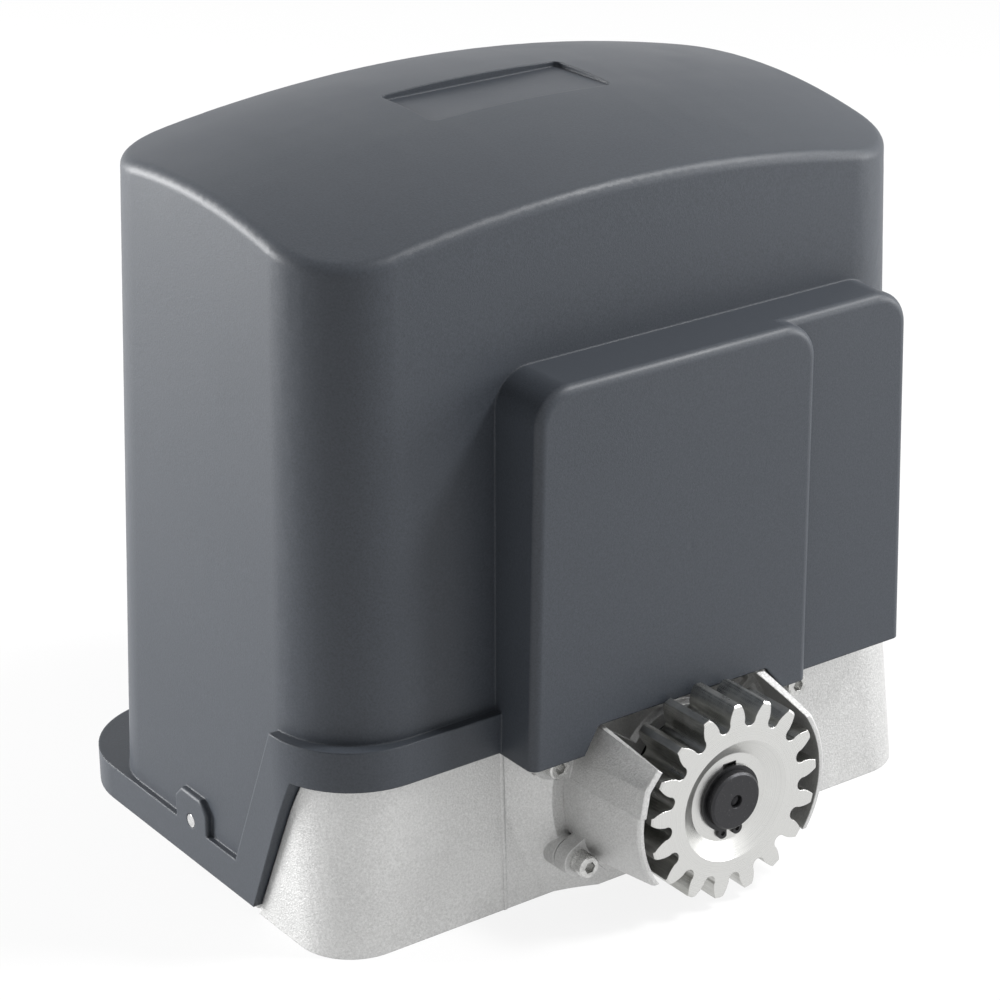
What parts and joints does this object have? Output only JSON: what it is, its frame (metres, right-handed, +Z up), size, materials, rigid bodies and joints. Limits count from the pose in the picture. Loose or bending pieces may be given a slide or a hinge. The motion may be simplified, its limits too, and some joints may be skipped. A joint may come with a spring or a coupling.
{
  "type": "sliding gate motor",
  "caption": "Rack-and-pinion operator for a sliding gate: cast foot with gearbox, tall plastic cover with front bulge, guarded pinion on the output shaft.",
  "frame": {"origin": "middle of the foot, on the ground", "axes": "+X along the rack, -Y towards the gate (the pinion side), +Z up"},
  "size_m": [0.284, 0.2362, 0.2758],
  "materials": {
    "cast_aluminium": "shot-blasted casting",
    "inner_aluminium": "as cast",
    "zinc_steel": "zinc plated",
    "cover_plastic": "fine spark-erosion grain",
    "bright_screw": "bright plated",
    "gear_steel": "machined, oiled flanks",
    "black_steel": "black oxide, scratched",
    "black_ring": "phosphated",
    "bearing_steel": "ground",
    "seal_rubber": "matt",
    "bronze": "cut bronze",
    "lever_plastic": "moulded",
    "lock_brass": "turned",
    "lamination_steel": "varnished sheets",
    "copper_wire": "varnished wire",
    "capacitor_plastic": "moulded",
    "carrier_plastic": "moulded",
    "board_green": "solder mask",
    "terminal_green": "moulded",
    "relay_blue": "moulded",
    "chip_black": "moulded",
    "coil_tape": "tape"
  },
  "bodies": {
    "frame": {"base_casting": "cast_aluminium", "base_rear": "cast_aluminium", "gearbox_body": "cast_aluminium", "gear_guard": "cast_aluminium", "gearbox_lid": "inner_aluminium", "motor_cap": "inner_aluminium", "motor_housing": "inner_aluminium", "guard_screws": "zinc_steel", "guard_washers": "zinc_steel", "lid_screws": "zinc_steel", "tie_bolts": "zinc_steel", "board_screws": "zinc_steel", "earth_screw": "zinc_steel", "cover": "cover_plastic", "cover_screws": "bright_screw", "front_bearing": "bearing_steel", "rear_bearing": "bearing_steel", "worm_bearing": "bearing_steel", "motor_lower_bearing": "bearing_steel", "motor_upper_bearing": "bearing_steel", "shaft_seal": "seal_rubber", "stator": "lamination_steel", "windings": "copper_wire", "oil_plug": "lock_brass", "capacitor": "capacitor_plastic", "capacitor_clip": "seal_rubber", "board_carrier": "carrier_plastic", "control_board": "board_green", "terminal_blocks": "terminal_green", "relays": "relay_blue", "fuse_holder": "relay_blue", "board_chips": "chip_black", "transformer_core": "lamination_steel", "transformer_coil": "coil_tape", "limit_sensor": "chip_black", "sensor_bracket": "zinc_steel", "cable_grommet": "seal_rubber"},
    "output": {"output_shaft": "black_steel", "pinion": "gear_steel", "retaining_ring": "black_ring", "shaft_keys": "gear_steel", "worm_wheel": "bronze"},
    "rotor_body": {"worm": "bearing_steel", "rotor": "lamination_steel"},
    "release": {"release_spindle": "bearing_steel", "release_lever": "lever_plastic", "release_lock": "lock_brass"},
    "sleeve": {"clutch_sleeve": "bearing_steel"}
  },
  "joints": [
    {"name": "output_spin", "type": "hinge", "parent": "frame", "child": "output", "pos_m": [0.0065, -0.1222, 0.0416], "axis": [0, 1, 0], "continuous": true},
    {"name": "rotor_spin", "type": "hinge", "parent": "frame", "child": "rotor_body", "pos_m": [-0.0305, -0.027, 0.15], "axis": [0, 0, 1], "continuous": true},
    {"name": "release_turn", "type": "hinge", "parent": "frame", "child": "release", "pos_m": [0.1346, 0.0005, 0.0466], "axis": [1, 0, 0], "range_deg": [0, 90]},
    {"name": "sleeve_slide", "type": "slide", "parent": "output", "child": "sleeve", "axis": [0, 1, 0], "range_m": [0, 0.005]}
  ],
  "couplings": [
    {"joint": "rotor_spin", "follows": "output_spin", "ratio": -28},
    {"joint": "release_turn", "follows": "sleeve_slide", "rad_per_m": 314.16}
  ]
}
